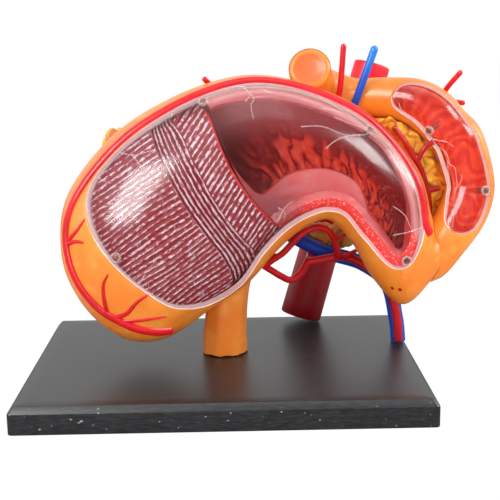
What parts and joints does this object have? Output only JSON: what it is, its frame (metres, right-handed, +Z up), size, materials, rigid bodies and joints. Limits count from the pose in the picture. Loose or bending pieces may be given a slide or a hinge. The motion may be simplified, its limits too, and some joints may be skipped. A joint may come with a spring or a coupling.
{
  "type": "stomach anatomy model",
  "caption": "Palm-size classroom model of the stomach and duodenum with clear windows, wall layers, pancreas and vessels, standing on a flat plate.",
  "frame": {"origin": "centre of the plate's underside", "axes": "+Z up, +X to the viewer's right along the plate's long side, +Y away from the viewer, through the stomach's depth"},
  "size_m": [0.1447, 0.0947, 0.1038],
  "materials": {
    "plate": "black moulded plate with a satin, very finely grained face",
    "organ_shell": "glossy painted orange shell",
    "clear_window": "clear polished pane with fine raised vessel lines",
    "peg": "brown moulded peg",
    "lining": "wet-looking dark red folds, brighter on their crests",
    "muscle": "dark red muscle fibres dry-brushed with pale pink",
    "artery": "glossy bright red paint",
    "vein": "glossy blue paint",
    "pancreas": "yellow ochre lobes with brown washed into the creases"
  },
  "bodies": {
    "base": {"base_plate": "plate"},
    "organ": {"stomach_rear_shell": "organ_shell", "gastric_lining": "lining", "muscle_layer_panel": "muscle", "esophagus": "organ_shell", "duodenum_front_shell": "organ_shell", "duodenum_rear_shell": "organ_shell", "duodenal_lining": "lining", "jejunum_stub": "organ_shell", "pancreas": "pancreas", "celiac_artery_tree": "artery", "portal_vein": "vein", "superior_mesenteric_artery": "artery", "superior_mesenteric_vein": "vein", "gastroduodenal_artery": "artery", "lower_duodenal_artery": "artery", "splenic_artery": "artery", "short_gastric_artery": "artery"},
    "front_cover": {"stomach_front_shell": "organ_shell", "gastroepiploic_artery": "artery"},
    "stomach_window_pane": {"stomach_window": "clear_window", "stomach_window_pin_1": "peg", "stomach_window_pin_2": "peg", "stomach_window_pin_3": "peg", "stomach_window_pin_4": "peg"},
    "duodenum_window_pane": {"duodenum_window": "clear_window", "duodenum_window_pin_1": "peg", "duodenum_window_pin_2": "peg"},
    "aorta": {"abdominal_aorta": "artery"}
  },
  "joints": [
    {"name": "organ_lift", "type": "slide", "parent": "base", "child": "organ", "axis": [0, 0, 1], "range_m": [0, 0.06]},
    {"name": "front_cover_pull", "type": "slide", "parent": "organ", "child": "front_cover", "axis": [0, -1, 0], "range_m": [0, 0.03]},
    {"name": "stomach_window_pull", "type": "slide", "parent": "front_cover", "child": "stomach_window_pane", "axis": [0, -1, 0], "range_m": [0, 0.03]},
    {"name": "duodenum_window_pull", "type": "slide", "parent": "organ", "child": "duodenum_window_pane", "axis": [0, -1, 0], "range_m": [0, 0.03]},
    {"name": "aorta_pull", "type": "slide", "parent": "organ", "child": "aorta", "axis": [0, 1, 0], "range_m": [0, 0.03]}
  ]
}
